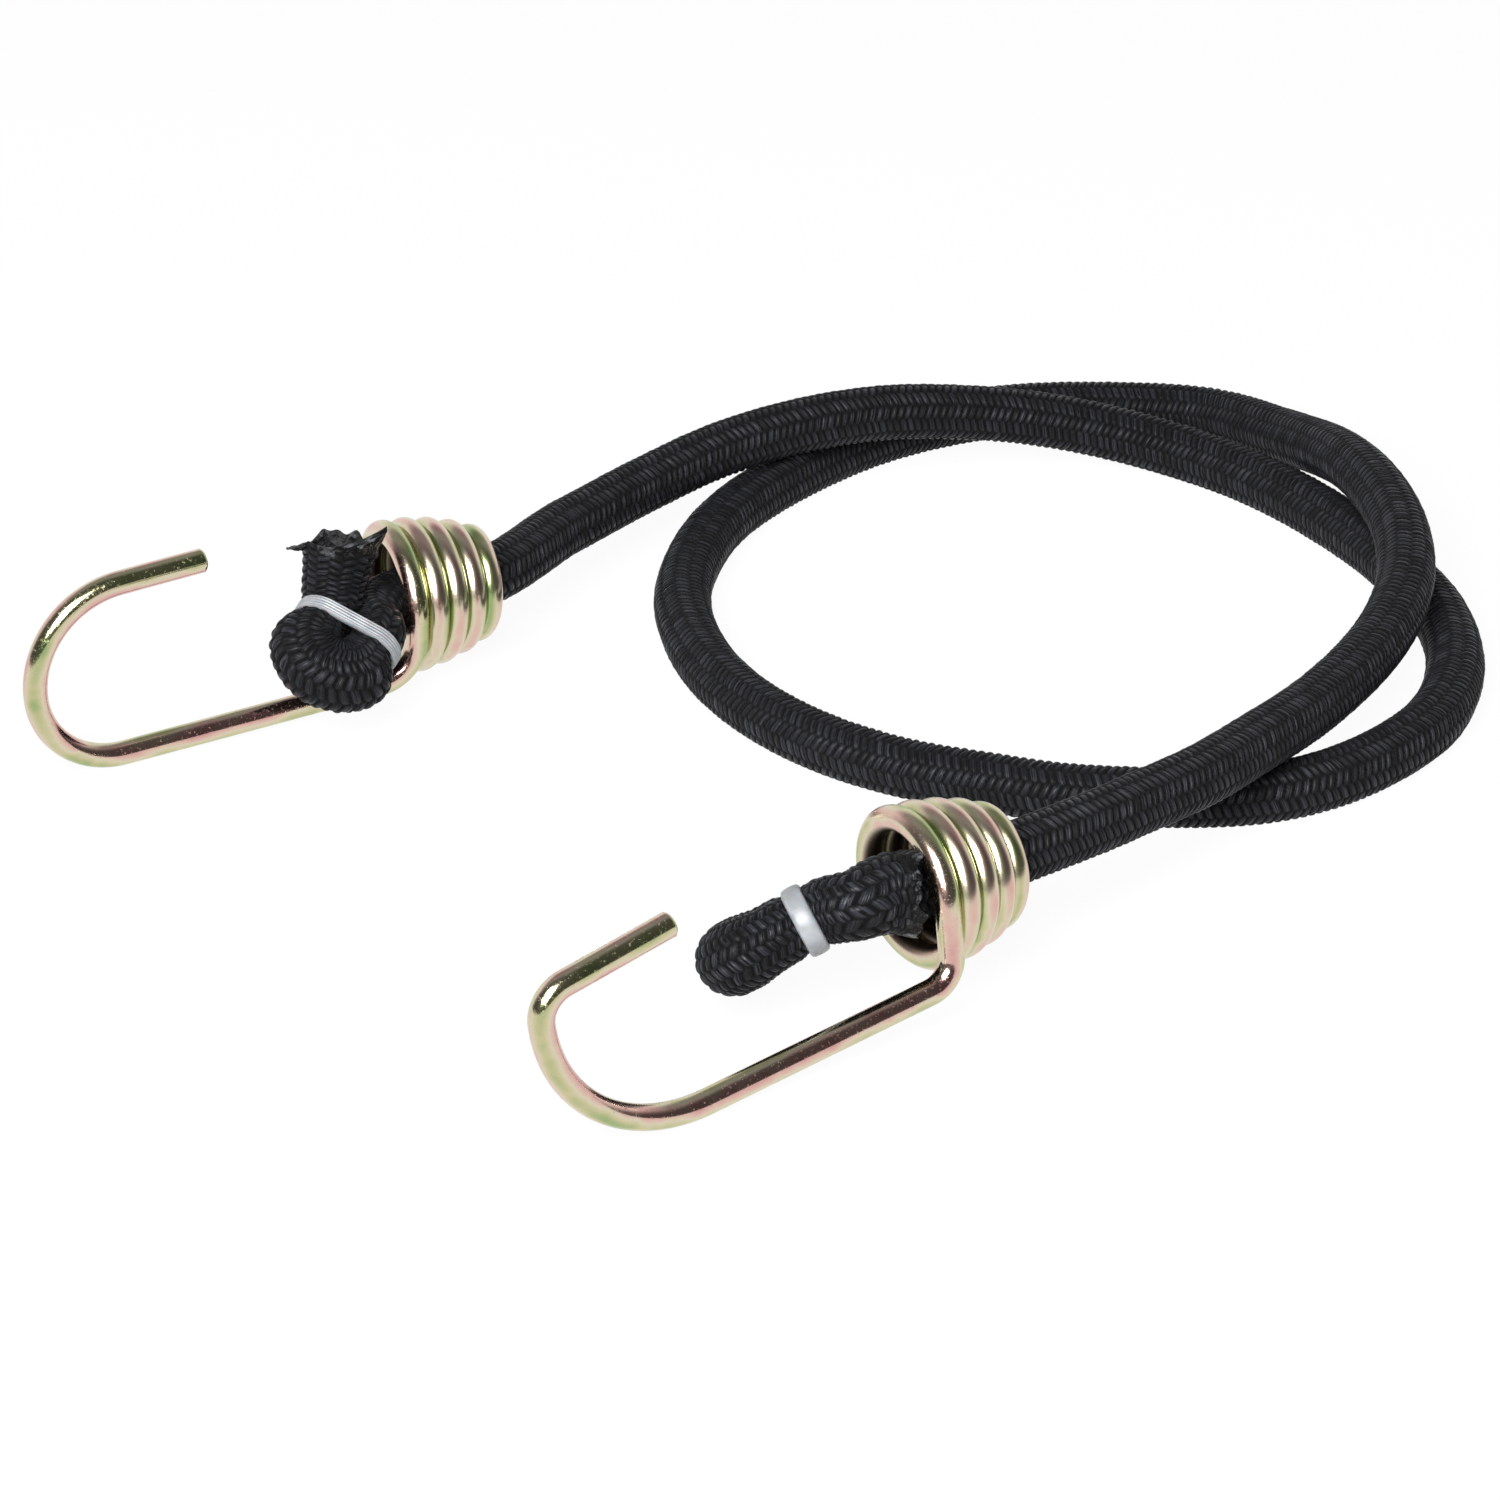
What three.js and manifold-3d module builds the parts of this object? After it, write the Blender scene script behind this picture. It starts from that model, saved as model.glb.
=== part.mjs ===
// Bungee cord with two wire hooks, lying in a loose double loop on a table.
// Millimetres, +Z up. The cord is a rubber core in a braided sheath. At each end it passes
// through the tapered coil of a wire hook, folds back on itself and is bound by a plastic band,
// so that a pull wedges the fold in the coil.

import * as THREE from "three";
import { mergeVertices } from "three/addons/utils/BufferGeometryUtils.js";
import Module from "manifold-3d";

const wasm = await Module();
wasm.setup();

// The cord
const cordDiameter = 10;
const sheathWall = 1.5;
const coreClearance = 0.4;
const strandGap = 0.5; // where one strand lies over another
const endGap = 0.3; // between the main run and each end, where the cord stretches
const tableFlat = cordDiameter / 10; // how deep the cord is pressed flat where it lies on the table
const cordSides = 10;
const runSteps = 56;
const endSteps = 44;

// The folded ends and their bands
const foldGap = 0.4; // between the two legs of a fold
const bandClearance = 0.3;
const bandThickness = 1;
const bandWidth = 2.8;
const bandMargin = 1.2; // straight cord beyond each edge of a band

// The wire hooks
const wireDiameter = 4.1;
const wireSides = 10;
const coilGap = 0.3; // between neighbouring turns
const stepsPerTurn = 24;
const coilTurns = 4;
const boreClearance = 0.4; // between the cord and the coil at the narrow end
const axisLead = 1.3; // how far the cord keeps to the coil's axis beyond the narrow end
const mouthBore = 18.9; // inner diameter of the coil where the fold comes out
const shankDrop = 9.6; // from the coil's axis down to the shank
const hookGap = 31; // from the shank to the tip, between wire centres
const tipChamfer = 0.4;

const cordRadius = cordDiameter / 2;
const wireRadius = wireDiameter / 2;
const wireRest = wireRadius * Math.cos(Math.PI / wireSides); // height of a wire that lies on a facet
const foldRadius = cordRadius + foldGap / 2;
const narrowRadius = cordRadius + boreClearance + wireRadius;
const mouthRadius = mouthBore / 2 + wireRadius;

// The coil tapers in a dome, with its turns equally far apart down the slope.
const coilShape = [];
let coilLength = 0;
const coilSteps = stepsPerTurn * coilTurns;
for (let step = 1; step <= coilSteps; step++) {
  const share = step / coilSteps;
  const taperPerTurn = (2 * share * (mouthRadius - narrowRadius)) / coilTurns;
  coilLength += Math.sqrt((wireDiameter + coilGap) ** 2 - taperPerTurn ** 2) / stepsPerTurn;
  const radius = mouthRadius - (mouthRadius - narrowRadius) * share ** 2;
  coilShape.push({ turned: (2 * Math.PI * step) / stepsPerTurn, along: coilLength, radius });
}

// Heights of the cord's centre line
const low = cordRadius - tableFlat;
const high = low + cordDiameter + strandGap;

// Where each hook lies: the foot of its neck on the table, which way it points, how the wire
// leaves the coil and bends into the shank, how far the shank droops from the coil's axis, how
// far the middle of the bow lies from the neck, and how the bow was bent, flared at its tip and
// cut off.
// The end's route is given from the middle of the coil's mouth, as along the coil's axis
// towards the bow, to the near side, and up.
const hookA = {
  foot: new THREE.Vector2(-28.7, 55.5),
  heading: 28.2,
  leaving: -3,
  neckBend: 7.5,
  droop: 2.1,
  reach: 68.4,
  lowerBend: 14.4,
  tipLength: 15.2,
  tipFlare: 1,
  fold: { centre: [17.9, 14.5, -0.2], across: [-0.673, 0.608, -0.428], along: [-0.742, -0.55, 0.384] },
  standing: [[-10, 0, 0], [-2, 0.8, 0.3], [3.2, 3.8, 0.8], [7.2, 8.8, 1.2]],
  tail: [[13.7, 6.4, 8.9], [12.6, 5, 15]],
  bandOffset: 4.5,
};
const hookB = {
  foot: new THREE.Vector2(59, -58.2),
  heading: 35,
  leaving: 9,
  neckBend: 5,
  droop: 7.2,
  reach: 71.8,
  lowerBend: 25.9,
  tipLength: 19.1,
  tipFlare: 5,
  fold: { centre: [22.6, -6.3, -5.4], across: [-0.556, -0.794, -0.247], along: [-0.826, 0.494, 0.272] },
  standing: [[-10, -0.5, -0.4], [-2, -1.4, -1.2], [3.5, -2.8, -2.4]],
  tail: [[11.6, 4.7, 0.1], [5.4, 6, 1.5]],
  bandOffset: 8,
};

// The main run from the first hook's end, over and under itself, to the second hook's end.
const run = [
  [-2.5, 100.2, 12.2],
  [8, 113.7, 12.4],
  [22.5, 127.1, high - 0.6],
  [37, 136.5, high],
  [52, 143.8, high - 0.6],
  [67, 149, 11.8],
  [82, 152, 9],
  [96.6, 151.3, 6.2],
  [111.4, 144.9, low + 0.2],
  [124.8, 130.8, low],
  [137.4, 110, low],
  [143.5, 95.2, low],
  [148, 78.7, low],
  [148.6, 58.7, low],
  [143.3, 39.2, low],
  [133.8, 25.6, low],
  [121.4, 15.2, low],
  [108, 10.2, low],
  [81, 10.9, low],
  [66, 15.4, low],
  [52.7, 20.6, low],
  [39.6, 29.9, low],
  [28, 43.8, low],
  [20, 61.1, low],
  [16.2, 83.9, low],
  [18.9, 104.9, low],
  [24.6, 120.9, low],
  [36.4, 138.9, low],
  [51.7, 154.7, low],
  [67.1, 164, low],
  [82.5, 168.3, low],
  [112.5, 166, low + 0.2],
  [126.2, 150.2, low + 2.8],
  [136.8, 119.5, 14.1],
  [141.8, 93.7, high + 0.3],
  [140.7, 70.7, high - 0.4],
  [134.4, 50.1, 13.2],
  [122.2, 27, 13.2],
  [109.5, 7.7, high + 0.2],
  [99.9, -5.8, 16],
  [88, -18.3, 16.9],
].map((point) => new THREE.Vector3(...point));

// Joins a list of points with straight stretches and rounds each inner corner to its own radius.
function roundedPath(corners, radii) {
  const degreesPerStep = 9;
  const points = [corners[0].clone()];
  radii.forEach((radius, i) => {
    const corner = corners[i + 1];
    const before = corner.clone().sub(corners[i]).normalize();
    const after = corners[i + 2].clone().sub(corner).normalize();
    const turn = before.angleTo(after);
    const inward = after.clone().addScaledVector(before, -before.dot(after)).normalize();
    const start = corner.clone().addScaledVector(before, -radius * Math.tan(turn / 2));
    const steps = Math.ceil(THREE.MathUtils.radToDeg(turn) / degreesPerStep);
    for (let step = 0; step <= steps; step++) {
      const angle = (turn * step) / steps;
      const point = start
        .clone()
        .addScaledVector(before, radius * Math.sin(angle))
        .addScaledVector(inward, radius * (1 - Math.cos(angle)));
      if (point.distanceTo(points.at(-1)) > 1e-3) points.push(point);
    }
  });
  points.push(corners.at(-1).clone());
  return points;
}

// A closed round bar along a list of points. The section's frame is carried along without
// twisting from the first point, with the middle of a facet on the side that firstNormal faces.
function bar(points, radiusAt, sides, firstNormal) {
  const positions = [];
  const normal = firstNormal.clone();
  points.forEach((point, i) => {
    const before = points[Math.max(i - 1, 0)];
    const after = points[Math.min(i + 1, points.length - 1)];
    const tangent = after.clone().sub(before).normalize();
    normal.addScaledVector(tangent, -normal.dot(tangent)).normalize();
    const side = new THREE.Vector3().crossVectors(tangent, normal);
    for (let k = 0; k < sides; k++) {
      const angle = ((k + 0.5) * 2 * Math.PI) / sides;
      const vertex = point
        .clone()
        .addScaledVector(normal, radiusAt(i) * Math.cos(angle))
        .addScaledVector(side, radiusAt(i) * Math.sin(angle));
      positions.push(vertex.x, vertex.y, vertex.z);
    }
  });
  const index = [];
  const lastRing = (points.length - 1) * sides;
  for (let i = 0; i < points.length - 1; i++) {
    for (let k = 0; k < sides; k++) {
      const a = i * sides + k;
      const b = i * sides + ((k + 1) % sides);
      index.push(a, b, b + sides, a, b + sides, a + sides);
    }
  }
  for (let k = 1; k < sides - 1; k++) {
    index.push(0, k + 1, k);
    index.push(lastRing, lastRing + k, lastRing + k + 1);
  }
  const geometry = new THREE.BufferGeometry();
  geometry.setAttribute("position", new THREE.Float32BufferAttribute(positions, 3));
  geometry.setIndex(index);
  return geometry;
}

// The least gap between a round bar and itself, measured between points of its centre line
// that lie more than three diameters apart along it.
function leastSelfGap(points, diameter) {
  const travelled = [0];
  for (let i = 1; i < points.length; i++) travelled.push(travelled[i - 1] + points[i].distanceTo(points[i - 1]));
  let least = Infinity;
  points.forEach((a, i) => {
    for (let k = i + 1; k < points.length; k++) {
      if (travelled[k] - travelled[i] > 3 * diameter) least = Math.min(least, a.distanceTo(points[k]) - diameter);
    }
  });
  return least;
}

function polygon(radius) {
  return Array.from({ length: cordSides }, (_, k) => {
    const angle = ((k + 0.5) * 2 * Math.PI) / cordSides;
    return new THREE.Vector2(radius * Math.cos(angle), radius * Math.sin(angle));
  });
}

// The braided sheath and the rubber core of one stretch of cord, along a curve.
function sheathGeometry(curve, steps) {
  const section = new THREE.Shape(polygon(cordRadius));
  section.holes.push(new THREE.Path(polygon(cordRadius - sheathWall)));
  return new THREE.ExtrudeGeometry(section, { steps, extrudePath: curve, bevelEnabled: false });
}

function coreGeometry(curve, steps) {
  const section = new THREE.Shape(polygon(cordRadius - sheathWall - coreClearance));
  return new THREE.ExtrudeGeometry(section, { steps, extrudePath: curve, bevelEnabled: false });
}

function solidOf(geometry) {
  const bare = geometry.clone();
  bare.deleteAttribute("normal");
  bare.deleteAttribute("uv");
  const merged = mergeVertices(bare);
  const vertProperties = new Float32Array(merged.attributes.position.array);
  const triVerts = new Uint32Array(merged.index.array);
  return new wasm.Manifold(new wasm.Mesh({ numProp: 3, vertProperties, triVerts }));
}

function geometryOf(solid) {
  const { vertProperties, triVerts } = solid.getMesh();
  const geometry = new THREE.BufferGeometry();
  geometry.setAttribute("position", new THREE.BufferAttribute(vertProperties, 3));
  geometry.setIndex(new THREE.BufferAttribute(triVerts, 1));
  return geometry;
}

// Presses a stretch of cord flat where it lies on the table.
function pressedFlat(geometry) {
  geometry.computeBoundingBox();
  const box = geometry.boundingBox;
  const size = box.getSize(new THREE.Vector3());
  const centre = box.getCenter(new THREE.Vector3());
  const below = new THREE.BoxGeometry(size.x + cordDiameter, size.y + cordDiameter, cordDiameter);
  below.translate(centre.x, centre.y, -cordDiameter / 2);
  return geometryOf(solidOf(geometry).subtract(solidOf(below)));
}

// The hook's own frame: x along the coil's axis towards the bow, y to the near side, z up,
// with the origin in the middle of the coil's mouth.
function hookFrame(hook) {
  const heading = THREE.MathUtils.degToRad(hook.heading);
  const droop = THREE.MathUtils.degToRad(hook.droop);
  const along = new THREE.Vector3(-Math.cos(heading), -Math.sin(heading), 0);
  const near = new THREE.Vector3(Math.sin(heading), -Math.cos(heading), 0);
  const up = new THREE.Vector3(0, 0, 1);
  const shank = hook.reach - hook.lowerBend;
  const footHeight = wireRest + shank * Math.sin(droop) + hook.lowerBend * (1 - Math.cos(droop));
  const origin = new THREE.Vector3(hook.foot.x, hook.foot.y, footHeight + shankDrop);
  origin.addScaledVector(near, -neckFoot(hook).y);
  return new THREE.Matrix4().makeBasis(along, near, up).setPosition(origin);
}

// Where the wire leaves the coil, and where the straight neck below that meets the shank.
function neckTop(hook) {
  const leaving = THREE.MathUtils.degToRad(hook.leaving);
  return new THREE.Vector3(0, mouthRadius * Math.cos(leaving), mouthRadius * Math.sin(leaving));
}

function neckFoot(hook) {
  const leaving = THREE.MathUtils.degToRad(hook.leaving);
  const down = new THREE.Vector3(0, Math.sin(leaving), -Math.cos(leaving));
  const top = neckTop(hook);
  return top.addScaledVector(down, (top.z + shankDrop) / Math.cos(leaving));
}

// The hook's wire from its cut tip round the bow, along the shank, up the neck and round the
// tapered coil to the narrow end.
function hookGeometry(hook) {
  const droop = THREE.MathUtils.degToRad(hook.droop);
  const shankWay = new THREE.Vector3(Math.cos(droop), 0, -Math.sin(droop));
  const gapWay = new THREE.Vector3(Math.sin(droop), 0, Math.cos(droop));
  const flare = THREE.MathUtils.degToRad(hook.tipFlare);
  const tipWay = gapWay.clone().multiplyScalar(Math.sin(flare)).addScaledVector(shankWay, -Math.cos(flare));
  const upperBend = hookGap - hook.lowerBend;
  const upperRun = upperBend * Math.tan((Math.PI / 2 - flare) / 2);
  const foot = neckFoot(hook);
  const lowerCorner = foot.clone().addScaledVector(shankWay, hook.reach);
  const upperCorner = lowerCorner.clone().addScaledVector(gapWay, hook.lowerBend + upperRun);
  const tip = upperCorner.clone().addScaledVector(tipWay, upperRun + hook.tipLength);
  const bend = roundedPath(
    [tip, upperCorner, lowerCorner, foot, neckTop(hook)],
    [upperBend, hook.lowerBend, hook.neckBend],
  );
  const chamferStart = tip.clone().addScaledVector(tipWay, -tipChamfer);
  bend.splice(1, 0, chamferStart);

  const leaving = THREE.MathUtils.degToRad(hook.leaving);
  const coil = coilShape.map(({ turned, along, radius }) => {
    const angle = leaving + turned;
    return new THREE.Vector3(-along, radius * Math.cos(angle), radius * Math.sin(angle));
  });
  console.log("coil: least gap to itself", leastSelfGap(coil, wireDiameter).toFixed(2), "mm");

  const tipRadius = wireRadius - tipChamfer;
  const geometry = bar([...bend, ...coil], (i) => (i === 0 ? tipRadius : wireRadius), wireSides, gapWay);
  return geometry.applyMatrix4(hookFrame(hook));
}

// The half turn of a fold and the two straight stretches that the band binds, in the hook's frame.
function foldPoints(hook) {
  const centre = new THREE.Vector3(...hook.fold.centre);
  const across = new THREE.Vector3(...hook.fold.across).normalize();
  const along = new THREE.Vector3(...hook.fold.along).normalize();
  const bound = hook.bandOffset + bandWidth / 2 + bandMargin;
  const leg = (side) =>
    centre
      .clone()
      .addScaledVector(across, side * foldRadius)
      .addScaledVector(along, bound);
  const crown = Array.from({ length: 7 }, (_, i) => {
    const angle = (i * Math.PI) / 6;
    return centre
      .clone()
      .addScaledVector(across, foldRadius * Math.cos(angle))
      .addScaledVector(along, -foldRadius * Math.sin(angle));
  });
  return [leg(1), ...crown, leg(-1)];
}

// The centre line of one end of the cord: from the main run through the coil, round the fold
// and back to the cut tail.
function endCurve(hook, runEnd, runNext) {
  const frame = hookFrame(hook);
  const local = (point) => new THREE.Vector3(...point).applyMatrix4(frame);
  const outward = runEnd.clone().sub(runNext).normalize();
  const start = runEnd.clone().addScaledVector(outward, endGap);
  const lead = runEnd.clone().addScaledVector(outward, cordRadius);
  return new THREE.CatmullRomCurve3([
    start,
    lead,
    local([-coilLength - axisLead, 0, 0]),
    ...hook.standing.map(local),
    ...foldPoints(hook).map((point) => point.applyMatrix4(frame)),
    ...hook.tail.map(local),
  ]);
}

// The plastic band that binds the two legs of a fold: a flat ring with round ends.
function bandGeometry(hook) {
  const inner = cordRadius + bandClearance;
  const ringAt = (path, radius) =>
    path
      .absarc(foldRadius, 0, radius, -Math.PI / 2, Math.PI / 2)
      .absarc(-foldRadius, 0, radius, Math.PI / 2, (3 * Math.PI) / 2)
      .closePath();
  const ring = ringAt(new THREE.Shape(), inner + bandThickness);
  ring.holes.push(ringAt(new THREE.Path(), inner));
  const geometry = new THREE.ExtrudeGeometry(ring, { depth: bandWidth, bevelEnabled: false, curveSegments: 10 });
  const across = new THREE.Vector3(...hook.fold.across).normalize();
  const along = new THREE.Vector3(...hook.fold.along).normalize();
  const third = new THREE.Vector3().crossVectors(along, across);
  const place = new THREE.Vector3(...hook.fold.centre).addScaledVector(along, hook.bandOffset - bandWidth / 2);
  geometry.applyMatrix4(new THREE.Matrix4().makeBasis(across, third, along).setPosition(place));
  return geometry.applyMatrix4(hookFrame(hook));
}

const zincPlatedWire = new THREE.MeshStandardMaterial({ color: 0xc9b37a, roughness: 0.25, metalness: 1 });
const braidedPolyester = new THREE.MeshStandardMaterial({ color: 0x1c1d20, roughness: 0.7, metalness: 0 });
const rubberStrands = new THREE.MeshStandardMaterial({ color: 0xcbb89a, roughness: 0.8, metalness: 0 });
const naturalNylon = new THREE.MeshStandardMaterial({ color: 0xb9bcbf, roughness: 0.4, metalness: 0 });

const bungee = new THREE.Group();

function addPiece(name, geometry, material) {
  const mesh = new THREE.Mesh(geometry, material);
  mesh.name = name;
  bungee.add(mesh);
}

const runCurve = new THREE.CatmullRomCurve3(run);
addPiece("cord_sheath", pressedFlat(sheathGeometry(runCurve, runSteps)), braidedPolyester);
addPiece("cord_core", coreGeometry(runCurve, runSteps), rubberStrands);

const cordLine = runCurve.getSpacedPoints(600);
console.log("main run: length", runCurve.getLength().toFixed(0), "mm");
console.log("main run: least gap to itself", leastSelfGap(cordLine, cordDiameter).toFixed(2), "mm");

const ends = [
  { letter: "a", hook: hookA, runEnd: run[0], runNext: run[1] },
  { letter: "b", hook: hookB, runEnd: run.at(-1), runNext: run.at(-2) },
];
for (const { letter, hook, runEnd, runNext } of ends) {
  const curve = endCurve(hook, runEnd, runNext);
  addPiece("end_sheath_" + letter, sheathGeometry(curve, endSteps), braidedPolyester);
  addPiece("end_core_" + letter, coreGeometry(curve, endSteps), rubberStrands);
  addPiece("band_" + letter, bandGeometry(hook), naturalNylon);
  addPiece("hook_" + letter, hookGeometry(hook), zincPlatedWire);
  console.log("end " + letter + ": length", curve.getLength().toFixed(0), "mm");
}

export default bungee;
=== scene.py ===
# %% [markdown]
# # A bungee cord with two wire hooks
# The cord is a bundle of rubber strands in a black polyester braid. It lies in a loose double
# loop, and at each end it is folded back and wedged in the coil of a bent wire hook. The packed
# CAD model gives every piece its place, and this lesson gives each one its look. The object is
# measured in millimetres, because that is how the makers of cord and wire work, and the studio
# round it in metres.

# %% Load the frame
import math

import bpy
import numpy as np
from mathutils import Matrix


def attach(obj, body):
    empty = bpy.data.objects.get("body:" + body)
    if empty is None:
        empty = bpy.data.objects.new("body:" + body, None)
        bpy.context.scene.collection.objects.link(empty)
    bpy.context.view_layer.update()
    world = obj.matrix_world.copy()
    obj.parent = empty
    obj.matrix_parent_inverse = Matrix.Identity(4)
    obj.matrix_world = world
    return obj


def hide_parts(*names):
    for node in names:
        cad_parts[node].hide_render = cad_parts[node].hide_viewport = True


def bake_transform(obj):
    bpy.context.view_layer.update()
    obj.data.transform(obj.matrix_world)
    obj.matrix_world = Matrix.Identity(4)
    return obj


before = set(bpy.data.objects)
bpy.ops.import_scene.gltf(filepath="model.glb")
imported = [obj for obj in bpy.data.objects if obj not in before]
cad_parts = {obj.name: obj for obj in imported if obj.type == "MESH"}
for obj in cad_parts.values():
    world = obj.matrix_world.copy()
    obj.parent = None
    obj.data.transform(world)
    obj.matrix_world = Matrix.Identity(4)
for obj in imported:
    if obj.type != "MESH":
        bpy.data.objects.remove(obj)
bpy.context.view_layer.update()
MM = 0.001
scene = bpy.context.scene
scene.view_settings.view_transform = "Standard"
print("CAD nodes:", ", ".join(sorted(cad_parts)))

# %% [markdown]
# ## The camera
# A product photograph like this is taken with a long lens from a little above the table. The
# focal length in pixels was worked out from the shape of the loop, and becomes a lens length
# through the width of the sensor. The camera looks at one point of the table, so its tilt is
# ninety degrees less its height above the horizon.

# %% Camera
PHOTO_WIDTH = 1500
SENSOR = 36
FOCAL_PIXELS = 5606
CAMERA_DISTANCE = 939
CAMERA_HEIGHT = math.radians(27)
LOOK_AT = (28.0, 34.7, 0.0)

camera_data = bpy.data.cameras.new("long_lens")
camera_data.sensor_width = SENSOR
camera_data.lens = FOCAL_PIXELS / PHOTO_WIDTH * SENSOR
camera_data.clip_start = 0.05
camera = bpy.data.objects.new("camera", camera_data)
camera.location = (
    LOOK_AT[0] * MM,
    (LOOK_AT[1] - CAMERA_DISTANCE * math.cos(CAMERA_HEIGHT)) * MM,
    CAMERA_DISTANCE * math.sin(CAMERA_HEIGHT) * MM,
)
camera.rotation_euler = (math.pi / 2 - CAMERA_HEIGHT, 0, 0)
scene.collection.objects.link(camera)
scene.camera = camera
print("lens:", round(camera_data.lens, 1), "mm")

# %% [markdown]
# ## The cord's route
# The route of the cord is a list of points, as a cable designer would note them down: over and
# under itself at three crossings, with the low strands on the table and the high ones a
# thickness above. Each end is written in the frame of its hook: along the coil's axis towards
# the bow, to the near side, and up.
#
# The two hooks in the photograph aren't quite alike, so each has its own angles and bends. The
# fold behind a hook has a centre, a way across its two legs and a way along them, and the points
# that lead in and out. Then come its band, how far the band bites and the crown bulges, and the
# flaps of the cut edge: a direction, how far it reaches out and rises, and its spread.

# %% Points of the route
CORD_DIAMETER = 10
LOW = 4.0
HIGH = 14.5
RUN = [
    (-2.5, 100.2, 12.2), (8, 113.7, 12.4), (22.5, 127.1, HIGH - 0.6), (37, 136.5, HIGH),
    (52, 143.8, HIGH - 0.6), (67, 149, 11.8), (82, 152, 9), (96.6, 151.3, 6.2),
    (111.4, 144.9, LOW + 0.2), (124.8, 130.8, LOW), (137.4, 110, LOW), (143.5, 95.2, LOW),
    (148, 78.7, LOW), (148.6, 58.7, LOW), (143.3, 39.2, LOW), (133.8, 25.6, LOW),
    (121.4, 15.2, LOW), (108, 10.2, LOW), (81, 10.9, LOW), (66, 15.4, LOW), (52.7, 20.6, LOW),
    (39.6, 29.9, LOW), (28, 43.8, LOW), (20, 61.1, LOW), (16.2, 83.9, LOW), (18.9, 104.9, LOW),
    (24.6, 120.9, LOW), (36.4, 138.9, LOW), (51.7, 154.7, LOW), (67.1, 164, LOW),
    (82.5, 168.3, LOW), (112.5, 166, LOW + 0.2), (126.2, 150.2, LOW + 2.8),
    (136.8, 119.5, 14.1), (141.8, 93.7, HIGH + 0.3), (140.7, 70.7, HIGH - 0.4),
    (134.4, 50.1, 13.2), (122.2, 27, 13.2), (109.5, 7.7, HIGH + 0.2), (99.9, -5.8, 16),
    (88, -18.3, 16.9),
]
HOOK_A = {
    "foot": (-28.7, 55.5), "heading": 28.2, "leaving": -3, "neck_bend": 7.5, "droop": 2.1,
    "reach": 68.4, "lower_bend": 14.4, "tip": 15.2, "tip_flare": 1,
    "fold_centre": (16.1, 15.1, 0.9),
    "across": (-0.673, 0.608, -0.428), "along": (-0.742, -0.55, 0.384),
    "standing": [(-10, 0, 0), (-2, 0.8, 0.3), (3.2, 3.8, 0.8), (7.2, 8.8, 1.2)],
    "tail": [(13, 7, 8.9), (10.7, 5.8, 16.4)],
    "band_offset": 3.2, "band_width": 2.7, "band_thickness": 1, "ribs": 5, "bite": 0.12,
    "bulge": 0.5, "flare": 0.4,
    "flaps": [
        ((-1, 0.2, 0), 2.8, -1.8, 0.1), ((1, 0.1, 0), 0.9, 2.4, 0.1), ((0.3, -1, 0), 0.4, 1, 0.1),
        ((-1, -0.4, 0), 0, -2, 1),
    ],
}
HOOK_B = {
    "foot": (59, -58.2), "heading": 35, "leaving": 9, "neck_bend": 5, "droop": 7.2,
    "reach": 71.8, "lower_bend": 25.9, "tip": 19.1, "tip_flare": 5,
    "fold_centre": (22.6, -6.3, -5.0),
    "across": (-0.516, -0.737, -0.436), "along": (-0.841, 0.339, 0.421),
    "standing": [(-10, -0.5, -0.4), (-2, -1.4, -1.2), (3.5, -2.8, -2.4)],
    "tail": [(11.6, 4.3, 3.3), (7.2, 4.3, 3.6), (3.2, 5.2, 3.2)],
    "band_offset": 8, "band_width": 3.4, "band_thickness": 1.2, "ribs": 1, "bite": 0.2,
    "bulge": 0.16, "flare": 0.42,
    "flaps": [((0, -0.2, 1), 0.6, 0.5, 0.1), ((0.3, -0.5, -1), 0.6, 0.6, 0.1)],
}
print("route points:", len(RUN))

# %% [markdown]
# ## The frame of a hook
# A hook lies on the table on its shank. Its frame starts in the middle of the coil's mouth, at
# the height that the neck, the droop of the shank and the thickness of the wire add up to. The
# wire of the CAD model has ten flats and rests on one of them.

# %% Hook frames
WIRE_RADIUS = 2.05
WIRE_FLATS = 10
WIRE_REST = WIRE_RADIUS * math.cos(math.pi / WIRE_FLATS)
MOUTH_RADIUS = 11.5
NARROW_RADIUS = 7.2
COIL_LENGTH = 16.9
AXIS_LEAD = 1.3
SHANK_DROP = 9.6
HOOK_GAP = 31


def unit(vector):
    return np.array(vector, float) / np.linalg.norm(vector)


def neck_points(hook):
    leaving = math.radians(hook["leaving"])
    top = np.array([0, MOUTH_RADIUS * math.cos(leaving), MOUTH_RADIUS * math.sin(leaving)])
    down = np.array([0, math.sin(leaving), -math.cos(leaving)])
    foot = top + down * (top[2] + SHANK_DROP) / math.cos(leaving)
    return top, foot


def hook_frame(hook):
    heading = math.radians(hook["heading"])
    droop = math.radians(hook["droop"])
    axes = np.array([
        [-math.cos(heading), -math.sin(heading), 0],
        [math.sin(heading), -math.cos(heading), 0],
        [0, 0, 1],
    ])
    shank = hook["reach"] - hook["lower_bend"]
    height = WIRE_REST + shank * math.sin(droop) + hook["lower_bend"] * (1 - math.cos(droop))
    origin = np.array([*hook["foot"], height + SHANK_DROP]) - axes[1] * neck_points(hook)[1][1]
    return origin, axes


def in_world(hook, points):
    origin, axes = hook_frame(hook)
    return origin + np.array(points, float) @ axes


for letter, hook in (("a", HOOK_A), ("b", HOOK_B)):
    print("hook", letter, "mouth at", np.round(hook_frame(hook)[0], 1))

# %% [markdown]
# ## One smooth centre line
# A cord is one unbroken length, so its centre line is one curve from cut end to cut end: the
# first fold, the run and the second fold. A Catmull-Rom spline passes through every point that
# is given to it, which suits a route that was measured.

# %% Points of the whole cord
FOLD_RADIUS = 4.4
FOLD_STEPS = 6
BAND_MARGIN = 1.2


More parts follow.
